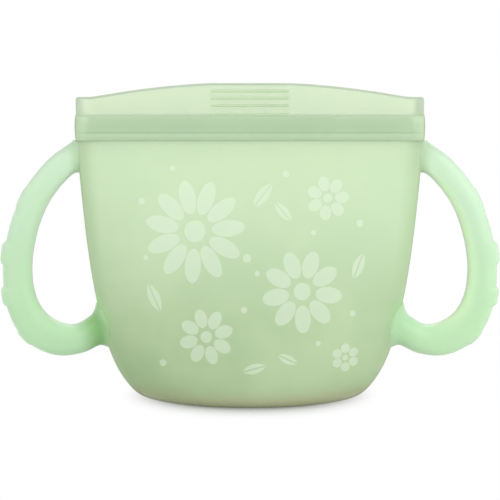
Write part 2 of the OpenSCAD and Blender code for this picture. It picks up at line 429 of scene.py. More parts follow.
def makeLeafGroup():
    # A pointed oval with its middle vein left open
    tree, given, result, dx, dz = newMotif("printedLeaf", ("Length", 10), ("Width", 4), ("Turn", 0))
    cosine = calc(tree, "COSINE", given["Turn"])
    sine = calc(tree, "SINE", given["Turn"])
    along = calc(tree, "ADD", calc(tree, "MULTIPLY", dx, cosine), calc(tree, "MULTIPLY", dz, sine))
    across = calc(tree, "SUBTRACT", calc(tree, "MULTIPLY", dz, cosine), calc(tree, "MULTIPLY", dx, sine))
    share = calc(tree, "DIVIDE", calc(tree, "MULTIPLY", along, 2), given["Length"])
    bulge = calc(tree, "SUBTRACT", 1, calc(tree, "MULTIPLY", share, share))
    edge = calc(tree, "MULTIPLY", calc(tree, "MULTIPLY", given["Width"], 0.5), bulge)
    side = calc(tree, "ABSOLUTE", across)
    inside = ramp(tree, calc(tree, "SUBTRACT", edge, side), 0, motifForm["inkEdge"])
    vein = ramp(tree, side, *motifForm["veinEdge"])
    tree.links.new(calc(tree, "MULTIPLY", inside, vein), result["Mask"])
    return tree


def makeDotGroup():
    tree, given, result, dx, dz = newMotif("printedDot", ("Size", 1))
    near = calc(tree, "SUBTRACT", given["Size"], lengthOf(tree, dx, dz))
    tree.links.new(ramp(tree, near, 0, motifForm["inkEdge"]), result["Mask"])
    return tree


groups = {
    "clouds": makeCloudGroup(),
    "satin": makeSatinGroup(),
    "edges": makeEdgeGroup(),
    "daisy": makeDaisyGroup(),
    "leaf": makeLeafGroup(),
    "dot": makeDotGroup(),
}

# The printed design on the front: flowers, leaves and dots of many sizes, in millimetres
printDesign = {
    "daisies": [  # centre x, centre z, size, petals, turn
        (-19, 60, 17.5, 11, 0.2), (18, 40, 14, 9, 0.5), (-15, 25, 9.5, 8, 0.1),
        (27, 71, 7.5, 7, 0.4), (33, 17, 5, 6, 0),
    ],
    "leaves": [  # centre x, centre z, length, width, turn
        (4.5, 72, 11, 4.2, 0.9), (11.5, 66.5, 9, 3.6, 2.3), (-33, 37.5, 11, 4.2, 2.0),
        (37.5, 48, 10, 4, 1.2), (1.5, 14.5, 9, 3.6, 0.25), (13, 17.5, 8, 3.2, 2.7),
    ],
    "dots": [  # centre x, centre z, radius
        (-1, 51, 1.5), (2.5, 46, 1), (-30, 15.5, 1.3), (38, 62.5, 1.3), (12.5, 79, 1.2),
        (35.5, 32, 1.1), (-37.5, 70, 1.2), (-2, 34, 1.2), (22, 59.5, 1), (-27, 81, 1),
        (23.5, 22.5, 1), (-36, 51, 0.9),
    ],
    "colour": (0.86, 0.92, 0.82, 1), "cover": 0.52, "roughness": 0.08,
    "mapSize": 120,
    "facing": -0.2,  # skin whose normal has less Y than this faces forward
}


def printMask(tree):
    place = addNode(tree, "UVMap", uv_map="printMap").outputs["UV"]
    parts = addNode(tree, "SeparateXYZ", {"Vector": place}).outputs
    size = printDesign["mapSize"]
    x = calc(tree, "MULTIPLY", calc(tree, "SUBTRACT", parts["X"], 0.5), size)
    z = calc(tree, "MULTIPLY", parts["Y"], size)
    motifs = [("daisy", spot, ("Size", "Petals", "Turn")) for spot in printDesign["daisies"]]
    motifs += [("leaf", spot, ("Length", "Width", "Turn")) for spot in printDesign["leaves"]]
    motifs += [("dot", spot, ("Size",)) for spot in printDesign["dots"]]
    mask = None
    for kind, spot, names in motifs:
        sockets = {"X": x, "Z": z, "Centre X": spot[0], "Centre Z": spot[1]}
        sockets.update(zip(names, spot[2:]))
        motif = useGroup(tree, groups[kind], sockets)["Mask"]
        mask = motif if mask is None else calc(tree, "MAXIMUM", mask, motif)
    return mask


def siliconeMaterial(name, look, printed=False):
    material = bpy.data.materials.new(name)
    tree = emptyTree(material)
    place = addNode(tree, "TexCoord").outputs["Object"]
    clouds = useGroup(tree, groups["clouds"], {"Place": place, "Scale": look["cloudScale"]})
    satin = useGroup(tree, groups["satin"], {"Place": place, "Strength": look["bump"]})
    edges = useGroup(tree, groups["edges"], {"Place": place, "Edge": readPaint(tree, "crest")})

    # Painted shade: each piece's colour runs from lowColour at lowZ up to highColour at highZ, darker
    # toward the bottom.
    height = addNode(tree, "SeparateXYZ", {"Vector": place}).outputs["Z"]
    rise = ramp(tree, height, look["lowZ"] * mm, look["highZ"] * mm)
    colour = mixColour(tree, rise, look["lowColour"], look["highColour"])
    colour = mixColour(tree, calc(tree, "MULTIPLY", clouds["Clouds"], look["cloudShare"]),
                       colour, look["cloudColour"])
    # Painted layers: depth is painted shade; root is painted light on the wall round the handles and
    # painted shade on the handles; rim is a dark outline, painted shade; pale is painted light on the
    # foot, the band's edges, the lips, the grip ribs and the right handle's inner side, and also paints
    # a paler bar, weld ends and weld marks on the zip; edges are wear.
    layers = [
        (readPaint(tree, "pale"), 1, look["paleColour"]),
        (readPaint(tree, "depth"), look["depthShare"], look["paintedShadeColour"]),
        (readPaint(tree, "root"), 1, look["rootColour"]),
        (readPaint(tree, "rim"), look["rimShare"], look["rimColour"]),
        (edges["Mask"], look["wear"], look["wearColour"]),
    ]
    for mask, share, tint in layers:
        colour = mixColour(tree, calc(tree, "MULTIPLY", mask, share), colour, tint)

    low, high = look["roughness"]
    roughness = ramp(tree, clouds["Flow"], 0, 1, low, high)
    thin, thick = look["clear"] * (1 + look["clearSpread"]), look["clear"] * (1 - look["clearSpread"])
    clear = ramp(tree, clouds["Clouds"], 0, 1, thin, thick)
    if printed:
        mask = printMask(tree)
        ink = calc(tree, "MULTIPLY", mask, printDesign["cover"])
        colour = mixColour(tree, ink, colour, printDesign["colour"])
        clear = calc(tree, "MULTIPLY", clear, calc(tree, "SUBTRACT", 1, ink))
        roughness = calc(tree, "MULTIPLY_ADD", mask, printDesign["roughness"], roughness)

    surface = addNode(tree, "BsdfPrincipled", {
        "Base Color": colour, "Roughness": roughness, "Normal": satin["Normal"],
        "IOR": 1.41, "Specular IOR Level": look["specular"],
        "Subsurface Weight": look["subsurface"], "Subsurface Radius": look["softRadius"],
        "Subsurface Scale": 1 * mm,
        "Coat Weight": look["coat"], "Coat Roughness": 0.3,
        "Sheen Weight": 0.06, "Sheen Roughness": 0.5})
    result = surface.outputs[0]
    if look["glow"]:
        through = addNode(tree, "BsdfTranslucent", {"Color": colour, "Normal": satin["Normal"]})
        result = mixShader(tree, look["glow"], result, through.outputs[0])
    if look["clear"]:
        seen = addNode(tree, "BsdfTransparent", {"Color": look["clearColour"]})
        result = mixShader(tree, clear, result, seen.outputs[0])
    addNode(tree, "OutputMaterial", {"Surface": result})
    return material


def jointMaterial():
    material = bpy.data.materials.new("siliconeJoint")
    material.use_nodes = True
    surface = material.node_tree.nodes["Principled BSDF"]
    surface.inputs["Base Color"].default_value = (0.68, 0.80, 0.60, 1)
    surface.inputs["Alpha"].default_value = 0
    return material


bodyLook = {
    "lowZ": 4, "highZ": 80,
    "lowColour": (0.54, 0.67, 0.42, 1), "highColour": (0.74, 0.85, 0.66, 1),
    "cloudScale": 28, "cloudShare": 0.35, "cloudColour": (0.76, 0.86, 0.64, 1),
    "depthShare": 0.65, "paintedShadeColour": (0.56, 0.70, 0.45, 1),
    "rimShare": 0.25, "rimColour": (0.36, 0.42, 0.34, 1), "paleColour": (0.66, 0.65, 0.44, 1),
    "rootColour": (0.60, 0.86, 0.48, 1),
    "roughness": (0.41, 0.51), "specular": 0.4, "coat": 0, "bump": 0.12,
    "wear": 0.07, "wearColour": (0.9, 0.95, 0.86, 1),
    "subsurface": 0, "softRadius": (1, 1.4, 0.9),
    "glow": 0.42, "clear": 0.14, "clearSpread": 0.15, "clearColour": (0.86, 0.95, 0.83, 1),
}
zipLook = {
    **bodyLook, "lowZ": 88, "highZ": 102,
    "lowColour": (0.50, 0.65, 0.43, 1), "highColour": (0.54, 0.68, 0.47, 1),
    "cloudScale": 40, "cloudColour": (0.56, 0.71, 0.47, 1), "paleColour": (0.68, 0.80, 0.60, 1),
    "rimShare": 0.6, "glow": 0.35, "clear": 0.04,
}
lipLook = {
    **bodyLook, "lowZ": 98, "highZ": 112,
    "lowColour": (0.76, 0.86, 0.68, 1), "highColour": (0.77, 0.86, 0.69, 1),
    "cloudScale": 36, "cloudColour": (0.80, 0.87, 0.66, 1), "paleColour": (0.86, 0.93, 0.78, 1),
    "rimShare": 0.6, "glow": 0.4, "clear": 0.06,
}
ribLook = {**lipLook, "glow": 0.3, "clear": 0.5}
handleLook = {
    **bodyLook, "lowZ": 18, "highZ": 84,
    "lowColour": (0.42, 0.62, 0.39, 1), "highColour": (0.50, 0.65, 0.485, 1),
    "cloudScale": 24, "cloudColour": (0.51, 0.69, 0.43, 1),
    "paintedShadeColour": (0.14, 0.36, 0.08, 1), "depthShare": 0.75, "rimShare": 0.45,
    "paleColour": (0.67, 0.85, 0.56, 1),
    "rootColour": (0.34, 0.51, 0.27, 1),
    "roughness": (0.37, 0.47), "coat": 0.05, "bump": 0.1,
    "subsurface": 0.6, "softRadius": (2.4, 3.4, 2.0),
    "glow": 0, "clear": 0,
}
materials = {
    "body": siliconeMaterial("siliconeBody", bodyLook),
    "printed": siliconeMaterial("siliconePrinted", bodyLook, printed=True),
    "zip": siliconeMaterial("siliconeZip", zipLook),
    "lip": siliconeMaterial("siliconeLip", lipLook),
    "rib": siliconeMaterial("siliconeRib", ribLook),
    "handle": siliconeMaterial("siliconeHandle", handleLook),
    "joint": jointMaterial(),
}
print("materials made")


def mapPrint(piece):
    # A front view of the cup. Only skin that faces forward gets the printed design.
    layer = piece.data.uv_layers.new(name="printMap")
    scale = 1 / printDesign["mapSize"]
    for polygon in piece.data.polygons:
        ahead = polygon.normal.y < printDesign["facing"] and polygon.center.y < 0
        for loop in polygon.loop_indices:
            spot = piece.data.vertices[piece.data.loops[loop].vertex_index].co / mm
            layer.data[loop].uv = (spot.x * scale + 0.5, spot.z * scale) if ahead else (-1, -1)


def wallGap(x, y, z):
    # How far a point stands out from the cup's side wall
    return abs(x) - wallX(min(abs(y), halfDepth(min(z, wallTop))), min(z, wallTop))


# Painted light: the wall round each handle's root is painted lighter and greener, as light comes through
# the handle's silicone; less on the right
rootLight = {"middle": 27, "halfHeight": 8.6, "halfDepth": 8.2, "full": 0.9, "run": 3.6,
            "share": {-1: 1, 1: 0.8}}


def paintedRootLight(x, y, z):
    if abs(x) < mouthHalf / 2:
        return 0
    reach = math.hypot((z - rootLight["middle"]) / rootLight["halfHeight"], y / rootLight["halfDepth"])
    tint = smoothStep(1 + rootLight["run"] / rootLight["halfHeight"], rootLight["full"], reach)
    return tint * rootLight["share"][-1 if x < 0 else 1]


# Bowl: foot, floor and the lower wall up to the fold
bowl = {"columns": 180, "wallRows": 22, "floorRows": 6, "crowding": 1.9,
        "footPale": 0.9, "paleHeights": (7.5, 1)}


def bowlPlace(column, row):
    half = bowl["wallRows"] + bowl["floorRows"]
    inside = row > half
    k = 2 * half + 1 - row if inside else row
    inset, low = (form["wall"], form["floor"]) if inside else (0, 0)
    share = min(1, k / bowl["floorRows"])
    rise = (max(0, k - bowl["floorRows"]) / (bowl["wallRows"] - 1)) ** bowl["crowding"]
    short = 1 - form["seamStep"] / (foldHeight - low)
    z = low + (foldHeight - low) * (1 if k == half else rise * short)
    turn = 2 * math.pi * column / bowl["columns"]
    a, b, n = ovalAt(z, inset)
    reach = (abs(math.cos(turn) / a) ** n + abs(math.sin(turn) / b) ** n) ** (-1 / n)
    return share * reach * math.cos(turn), share * reach * math.sin(turn), z


def makeBowl():
    rows = 2 * (bowl["wallRows"] + bowl["floorRows"]) + 1
    piece = closeUp(gridPiece("bowlSkin", bowl["columns"], rows, bowlPlace), 50)
    paint(piece, "depth", paintedSideShade)
    paint(piece, "rim", outlineRim)
    paint(piece, "root", paintedRootLight)
    # Painted light: the foot's lowest few millimetres, where the skin turns under, are painted paler and
    # olive
    paint(piece, "pale", lambda x, y, z: bowl["footPale"] * smoothStep(*bowl["paleHeights"], z))
    mapPrint(piece)
    piece.data.materials.append(materials["printed"])
    clearJoints(piece, crossesWall)
    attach(piece, "cup")
    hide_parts("bowl")


# Side strips, which stay still and carry the handles. A strip is about three times as long round
# the side as it is wide seen from the front.
strip = {"columns": 30, "rows": 60, "round": 3}


def makeStrip(name, node, side):
    arc = strip["columns"]

    def place(column, row):
        z = foldHeight + (wallTop - foldHeight) * runShare(row, strip["rows"], wallTop - foldHeight)
        column %= 2 * arc + 2
        inside = column > arc
        k = 2 * arc + 1 - column if inside else column
        share = runShare(k, arc, form["sideStrip"] * strip["round"])
        a, b, n = ovalAt(z, form["wall"] if inside else 0)
        turn = math.acos((cutX(z) / a) ** (n / 2)) * (2 * share - 1)
        y = math.copysign(b * abs(math.sin(turn)) ** (2 / n), turn)
        return side * a * math.cos(turn) ** (2 / n), y, z

    piece = closeUp(gridPiece(name, 2 * arc + 2, strip["rows"], place))
    paint(piece, "depth", paintedSideShade)
    paint(piece, "rim", outlineRim)
    paint(piece, "root", paintedRootLight)
    piece.data.materials.append(materials["body"])
    clearJoints(piece, crossesWall)
    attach(piece, "cup")
    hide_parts(node)


# Walls, bands and lips: each big wall, band and lip is made as a left and a right half.
# The foot of a wall, up to a slanting line, is a piece of its own.
opening = {"columns": 44, "wallRows": 56, "footRows": 16, "bend": 40, "foldRun": 12}
bodies = {-1: "front_side", 1: "back_side"}
halves = [(side, face) for face in (-1, 1) for side in (-1, 1)]
bendStart = Vector((cutX(foldHeight), 0, foldHeight))
bendWay = Vector((foldHeight - lipTop, 0, runHalf - cutX(foldHeight))).normalized()


def halfName(part, side, face):
    return ("front" if face < 0 else "back") + part + ("Left" if side < 0 else "Right")


def bendOpen(piece, side):
    start, end = bendStart.copy(), bendStart + bendWay * opening["bend"]
    start.x, end.x = side * start.x, side * end.x
    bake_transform(piece)


def bendUp(piece):
    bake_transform(piece)


def footTop(share):
    # Height of the slanting line that tops a wall's foot, on the column at this share of the half's
    # width, where the share along the side's bend line meets the share up from the fold. Each round
    # brings it nearer.
    z = foldHeight
    for _ in range(12):
        bent = (Vector((cutX(z) * share, 0, z)) - bendStart).dot(bendWay) / opening["bend"]
        z = foldHeight + opening["foldRun"] * min(1, max(0, bent))
    return z


def makeWall(side, face, isFoot):
    rows = opening["footRows" if isFoot else "wallRows"]
    columns = opening["columns"]
    tops = [footTop(runShare(column, columns, runHalf)) for column in range(columns + 1)]

    def place(column, row):
        low, high = (foldHeight, tops[column]) if isFoot else (tops[column], wallTop)
        row %= 2 * rows + 2
        inside = row > rows
        z = low + (high - low) * runShare(2 * rows + 1 - row if inside else row, rows, high - low)
        x = cutX(z) * runShare(column, columns, runHalf)
        return side * x, face * wallY(x, z, form["wall"] if inside else 0), z

    name = halfName("WallFoot" if isFoot else "Wall", side, face)
    piece = closeUp(gridPiece(name, columns, 2 * rows + 2, place))
    paint(piece, "depth", paintedSideShade)
    paint(piece, "root", paintedRootLight)
    if face < 0:
        mapPrint(piece)
    piece.data.materials.append(materials["printed" if face < 0 else "body"])
    clearJoints(piece, crossesWall)
    if isFoot:
        bendUp(piece)
    else:
        bendOpen(piece, side)
    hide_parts("front_wall" if face < 0 else "back_wall")


# Zip band: a bead, a groove and a flat bar outside, the rib or its channel inside
band = {
    "outline": [(2.7, 0), (3.2, 0.3), (3.5, 1), (3.5, 1.8), (3.26, 2.5), (3.12, 2.8),
                (3.25, 3.1), (3.4, 3.5), (3.4, 7.9), (3.15, 8.5), (2.4, 9)],
    "smoothing": 3,
    "outside": 3,  # skin that lies farther out than this is the outside
    "zipShare": 0.58,
    "crests": [(8.2, 0.5), (2, 0.6), (3.6, 0.35)],  # height over the band's foot, half width
    "barPale": 0.18, "barTop": (2.9, 2.5),
    "edgePale": 0.4, "lowEdge": (1, 0.3), "topEdge": (8, 8.8),
    "rib": [(0.15, -1.3), (-1.1, -0.95), (-1.35, -0.55), (-1.35, 0.55), (-1.1, 0.95), (0.15, 1.3)],
    "channel": [(0.15, -1.9), (1.75, -1.25), (1.95, -1), (1.95, 1), (1.75, 1.25), (0.15, 1.9)],
    "columns": 36,
}
zipZ = wallTop + (bandTop - wallTop) * band["zipShare"]
bandLine = [(d, wallTop + h) for d, h in curveThrough(band["outline"], band["smoothing"])]


def bandPale(z):
    # the bar under the groove is a little paler; its lower edge and the band's top are painted paler
    # still, painted light that lifts the shade there
    up = z - wallTop
    edges = smoothStep(*band["lowEdge"], up) + smoothStep(*band["topEdge"], up)
    return band["barPale"] * smoothStep(*band["barTop"], up) + band["edgePale"] * edges


def bandCrest(x, y, z):
    up = z - wallTop
    edge = max(math.exp(-((up - height) / half) ** 2) for height, half in band["crests"])
    return edge if abs(y) > band["outside"] else 0


def makeBand(side, face):
    inner = band["rib" if face < 0 else "channel"]
    outline = bandLine + [(form["halfSlit"], bandTop)]
    outline += [(d, zipZ + h) for d, h in reversed(inner)] + [(form["halfSlit"], wallTop)]
    piece = extrudeOutline(halfName("Band", side, face), [(face * d, z) for d, z in outline],
                           0, side * runHalf, band["columns"])
    closeUp(piece)
    paint(piece, "pale", lambda x, y, z: bandPale(z))
    paint(piece, "crest", bandCrest)
    piece.data.materials.append(materials["zip"])
    clearJoints(piece, endsHalf)
    bendOpen(piece, side)
    if face < 0:
        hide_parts("front_zip_band", "zip_rib")
    else:
        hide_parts("back_zip_band", "zip_channel")


# Lips above the zip
lip = {
    "thick": 1.6, "rows": 9, "arc": 8, "columns": 44,
    "startIn": 0.4, "run": 0.78, "startEase": 0.03, "bow": 1.8, "level": 1.03,  # the climbing edge
    "rim": (0.9, 0.3), "crest": (0.6, 0.1), "paleHeights": (1.8, 0.3),
}


def lipEdge(x):
    u = min(1, max(0, (runHalf + lip["startIn"] - abs(x)) / (lip["run"] * mouthHalf)))
    climb = 1 - (1 - u * u / (u + lip["startEase"])) ** lip["bow"] if u < 1 else 1
    return tabTop + (lipTop - tabTop) * min(1, climb * lip["level"])


def belowEdge(edge, depths, z):
    # goes from 0 to 1 between two depths under the edge
    return smoothStep(edge - depths[0], edge - depths[1], z)


def lipPale(x, y, z):
    # painted light: a lip is painted paler toward the band below it, lifting the shade in the crease
    # there
    return smoothStep(*lip["paleHeights"], z - bandTop)


def makeLip(side, face):
    r = lip["thick"] / 2
    middle = form["halfSlit"] + r
    full = lipTop - r
    rising = [bandTop + (full - bandTop) * k / lip["rows"] for k in range(lip["rows"])]
    outline = [(middle + r, z) for z in rising]
    for k in range(lip["arc"] + 1):
        turn = math.pi * k / lip["arc"]
        outline.append((middle + r * math.cos(turn), full + r * math.sin(turn)))
    outline += [(middle - r, z) for z in reversed(rising)]
    piece = extrudeOutline(halfName("Lip", side, face), [(face * d, z) for d, z in outline],
                           0, side * runHalf, lip["columns"])
    for vertex in piece.data.vertices:  # the straight part shortens, the round edge only sinks
        x, z = vertex.co.x / mm, vertex.co.z / mm
        sunk = lipTop - lipEdge(x)
        share = min(1, (z - bandTop) / (full - bandTop))
        vertex.co.z -= sunk * share * mm
    closeUp(piece)
    # painted shade: a thin dark line painted along the lip's top edge
    paint(piece, "rim", lambda x, y, z: belowEdge(lipEdge(x), lip["rim"], z))
    paint(piece, "crest", lambda x, y, z: belowEdge(lipEdge(x), lip["crest"], z))
    paint(piece, "pale", lipPale)
    piece.data.materials.append(materials["lip"])
    clearJoints(piece, endsHalf)
    bendOpen(piece, side)
    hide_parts("front_lip" if face < 0 else "back_lip")


# Grip ribs: low rounded bars with tapered ends, on the middle of each lip
grip = {
    "length": 28, "height": 0.9, "pitch": 2.5, "sides": 20, "sunk": 0.05,
    "proud": (0.1, 0.26, 0.26, 0.26),  # from the lowest rib to the highest
    "lift": 0.85, "ends": 3,  # in rib heights: the lowest rib over the band, what the ends take
    "taper": ((0.5, 0.85), (0.4, 0.7), (0.3, 0.5)),  # step in rib heights, and what it shrinks to
    "rim": 0.1, "rimHeights": (1, 3), "crest": (0.16, 0.26),
}


def makeGripRibs(face):
    lipFace = form["halfSlit"] + lip["thick"]
    lowest = bandTop + grip["lift"] * grip["height"]
    straight = grip["length"] - grip["ends"] * grip["height"]
    bars = []
    for k, proud in enumerate(grip["proud"]):
        bpy.ops.mesh.primitive_cylinder_add(
            vertices=grip["sides"], radius=grip["height"] / 2 * mm, depth=straight * mm,
            location=(0, face * lipFace * mm, (lowest + k * grip["pitch"]) * mm),
            rotation=(0, math.pi / 2, 0))
        bar = bpy.context.object
        bpy.ops.object.transform_apply(location=False, rotation=True, scale=False)
        bpy.ops.object.mode_set(mode="EDIT")
        for end in (-1, 1):
            bpy.ops.mesh.select_mode(type="FACE")
            bpy.ops.mesh.select_all(action="DESELECT")
            bpy.ops.object.mode_set(mode="OBJECT")
            for polygon in bar.data.polygons:
                polygon.select = polygon.normal.x * end > 0.9
            bpy.ops.object.mode_set(mode="EDIT")
            for shift, size in grip["taper"]:
                bpy.ops.mesh.extrude_region_move(
                    TRANSFORM_OT_translate={"value": (end * shift * grip["height"] * mm, 0, 0)})
                bpy.ops.transform.resize(value=(1, size, size))
        bpy.ops.mesh.select_all(action="SELECT")
        bpy.ops.mesh.bisect(plane_co=(0, face * (lipFace - grip["sunk"]) * mm, 0),
                            plane_no=(0, face, 0), use_fill=True, clear_inner=True)
        bpy.ops.object.mode_set(mode="OBJECT")
        bar.scale.y = proud / (grip["height"] / 2)
        bars.append(bar)
    bpy.ops.object.select_all(action="DESELECT")
    for bar in bars:
        bar.select_set(True)
    bpy.context.view_layer.objects.active = bars[0]
    bpy.ops.object.join()
    piece = bpy.context.object
    piece.name = "frontGripRibs" if face < 0 else "backGripRibs"
    bpy.ops.object.transform_apply(location=True, rotation=True, scale=True)
    bpy.ops.object.shade_smooth_by_angle(angle=math.radians(50))
    # painted shade darkens the upper ribs a little; painted light lifts the lowest, as on the lip
    paint(piece, "rim", lambda x, y, z: grip["rim"] * smoothStep(*grip["rimHeights"], z - bandTop))
    paint(piece, "pale", lipPale)
    paint(piece, "crest", lambda x, y, z: smoothStep(*grip["crest"], abs(y) - lipFace))
    piece.data.materials.append(materials["rib"])
    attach(piece, bodies[face])
    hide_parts("front_grip_ribs" if face < 0 else "back_grip_ribs")


# Welds at the ends of the zip, with the corner tabs of the lips above them
weld = {
    "bulge": 0.5, "planRound": 2.4, "tabRound": 0.8, "grooveRun": 2.5, "underside": 1.4,
    "straightRows": 8, "arcRows": 8, "faceRows": 3, "tabRows": 5, "tabArc": 4,
    "paleShare": 0.3, "paleRun": (4.4, 2.2), "markPale": 3, "rim": (0.5, 0.1), "crest": (1.6, 0.2),
    "shade": 0.8,  # at the tab's end, and below where it starts and is full on each side
    "tabShade": {-1: (4, 1), 1: (4.6, 2.4)},
    "marks": [  # x from the weld's start, z over the band's foot, half length, half height, rise
        (2.6, 8.1, 1.9, 0.5, 0.25), (2.4, 5.7, 1.3, 0.9, 0.28), (2.6, 2.2, 1.4, 0.7, 0.1),
    ],
}
bandHalf = max(out for out, _ in band["outline"])  # half depths of the band and of both lips
lipsHalf = form["halfSlit"] + lip["thick"]


def weldEnd(z):
    if z <= bandTop:
        middle, half = (wallTop + bandTop) / 2, (bandTop - wallTop) / 2
        return mouthHalf + weld["bulge"] * math.sqrt(max(0, 1 - ((z - middle) / half) ** 2))
    r = weld["tabRound"]
    over = max(0, z - (tabTop - r))
    return mouthHalf - r + math.sqrt(max(0, r * r - over * over))


def weldMark(x, z):
    rise = 0
    for along, up, halfLength, halfHeight, height in weld["marks"]:
        a = (abs(x) - runHalf - along) / halfLength
        b = (z - wallTop - up) / halfHeight
        rise = max(rise, height * math.exp(-(a ** 4) - b * b))
    return rise


# Painted shade: a dark line at the weld's end and along the tab's top, and shade painted over the tab's
# end, broader on the right
def weldRim(x, y, z):
    gap = mouthHalf + 0.2 - abs(x)
    onTab = smoothStep(bandTop - 0.1, bandTop + 0.1, z)
    shade = weld["shade"] * onTab * smoothStep(*weld["tabShade"][-1 if x < 0 else 1], gap)
    return max(shade, smoothStep(*weld["rim"], gap), belowEdge(tabTop, lip["rim"], z))


def weldPale(x, y, z):
    if z > bandTop + hair:
        return 0
    fade = weld["paleShare"] * smoothStep(*weld["paleRun"], mouthHalf - abs(x))
    mark = weld["markPale"] * weldMark(x, z) if abs(y) > band["outside"] else 0
    return max(fade, mark, bandPale(z))


def makeWeld(name, node, side):
    r = lip["thick"] / 2
    middle = form["halfSlit"] + r
    rise = (tabTop - r - bandTop) / weld["tabRows"]
    turns = [math.pi / 2 * (k + 1) / weld["tabArc"] for k in range(weld["tabArc"])]
    # half depth and height of the profile, and how deep the groove between the lips is there
    outline = [(0, wallTop, 0), (weld["underside"], wallTop, 0)] + [(d, z, 0) for d, z in bandLine]
    outline += [(middle + r, bandTop + rise * k, 0) for k in range(weld["tabRows"] + 1)]
    outline += [(middle + r * math.cos(t), tabTop - r + r * math.sin(t), 0) for t in turns]
    outline += [(middle - r * math.sin(t), tabTop, r - r * math.cos(t)) for t in turns]
    outline.append((0, tabTop, r))
    last = len(outline) - 1
    straight, arc, face = weld["straightRows"], weld["arcRows"], weld["faceRows"]

    def place(column, row):
        column %= 2 * last
        front = column <= last
        d, z, groove = outline[column if front else 2 * last - column]
        tab = z > bandTop + hair
        full, r = (lipsHalf, weld["tabRound"]) if tab else (bandHalf, weld["planRound"])
        turn = math.pi / 2 * min(1, max(0, (row - straight) / arc))
        x = runHalf + (weldEnd(z) - r - runHalf) * min(1, row / straight) + r * math.sin(turn)
        shrink = r * (1 - math.cos(turn)) + (full - r) * max(0, row - straight - arc) / face
        z -= groove * (1 - smoothStep(runHalf, runHalf + weld["grooveRun"], x))
        proud = weldMark(x, z) if d > band["outside"] else 0
        return side * x, (-1 if front else 1) * (d * (full - shrink) / full + proud), z

    piece = closeUp(gridPiece(name, 2 * last, straight + arc + face, place), 50)
    paint(piece, "rim", weldRim)
    paint(piece, "pale", weldPale)
    paint(piece, "crest", lambda x, y, z: smoothStep(*weld["crest"], mouthHalf + 0.4 - abs(x)))
    piece.data.materials.append(materials["zip"])
    clearJoints(piece, endsHalf)
    piece.data.materials.append(materials["lip"])
    for polygon in piece.data.polygons:  # the tab is part of the thin lip
        if polygon.center.z > (bandTop + hair) * mm and polygon.material_index == 0:
            polygon.material_index = 2
    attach(piece, "cup")
    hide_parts(node)


# Loop handles. Stations along the loop, as shares of the handle's sizes: how far out past
# the mouth, height, thickness seen from the front, depth.
handle = {
    "stations": [
        (-0.15, 0.962, 0.96, 0.36), (0.03, 0.936, 0.94, 0.44), (0.32, 0.885, 0.93, 0.7),
        (0.65, 0.788, 0.95, 0.93), (0.87, 0.671, 0.97, 1), (0.995, 0.537, 1.01, 1),
        (0.995, 0.421, 1.05, 1), (0.895, 0.327, 1.14, 1), (0.685, 0.256, 1.22, 1),
        (0.36, 0.216, 1.19, 1), (0.02, 0.216, 1.06, 1.05), (-0.275, 0.248, 1.08, 1.2),
        (-0.61, 0.286, 1.68, 1.6)],
    "reach": 21.25, "thick": 10, "depth": 9.5, "squareness": 0.86,
    "pads": [(3.3, 0.3), (4.9, 1), (6.25, 1), (7.85, 0.4)],  # station and share of the height
    "padHeight": 1.1, "padHalf": 0.34, "padFlat": 1.8,
    "ridge": 0.12, "ridgeHalf": 0.35,  # the parting line of the mould
    "topFillet": 2.2, "lowFillet": 3.3, "flare": 0.55,
    "flareDepth": (0, 0.15),  # how much of the flare goes front to back, at the top and low roots
    "sides": 44, "rings": 240, "endIn": 0.02,
    # Painted light and shade: each side's shares, and the runs over which they come in. rootShade,
    # lowRoot and topRoot are painted shade near the wall, innerGlow is painted light on the side that
    # faces the cup, rim is a painted dark outline; the crests are wear.
    "rootShade": {-1: 1, 1: 0.2}, "shadeHeights": (50, 25), "shadeReach": (11, 2),
    "lowRoot": {-1: 1, 1: 0.45}, "lowRun": 2.4, "topRoot": 0.6, "topRun": 4.8,
    "innerGlow": {-1: 0, 1: 0.8}, "glowTurn": -0.8, "rim": (2.6, 0.9),
    "ridgeCrest": 0.6, "padCrest": (3.9, 5.6), "padWidth": (4.5, 2.5),
}


def handleSpot(t):
    out, up, _, _ = curveAt(handle["stations"], t)
    return mouthHalf + handle["reach"] * out, wallTop * up


def padRise(t):
    rise = 0
    for station, share in handle["pads"]:
        u = abs(t - station) / handle["padHalf"]
        rise = max(rise, share * min(1, handle["padFlat"] * max(0, 1 - u * u)))
    return handle["padHeight"] * rise


def barSide(value):
    return math.copysign(abs(value) ** handle["squareness"], value)


def ridgeRise(y):
    return math.exp(-(y / handle["ridgeHalf"]) ** 2)


def handleCrest(x, y, z):
    pads = smoothStep(*handle["padCrest"], abs(x) - mouthHalf - handle["reach"])
    return max(handle["ridgeCrest"] * ridgeRise(y), pads * smoothStep(*handle["padWidth"], abs(y)))


# Painted shade where the handle meets the wall, weaker at the right handle's low root
def handleRoot(side, x, y, z):
    gap = wallGap(x, y, z)
    if z < wallTop / 2:
        return handle["lowRoot"][side] * smoothStep(handle["lowRun"], 0, gap)
    return handle["topRoot"] * smoothStep(handle["topRun"], 0, gap)


# Painted shade low on the handle near the wall, full on the left and weak on the right
def handleShade(side, x, y, z):
    near = smoothStep(*handle["shadeReach"], wallGap(x, y, z))
    return handle["rootShade"][side] * smoothStep(*handle["shadeHeights"], z) * near


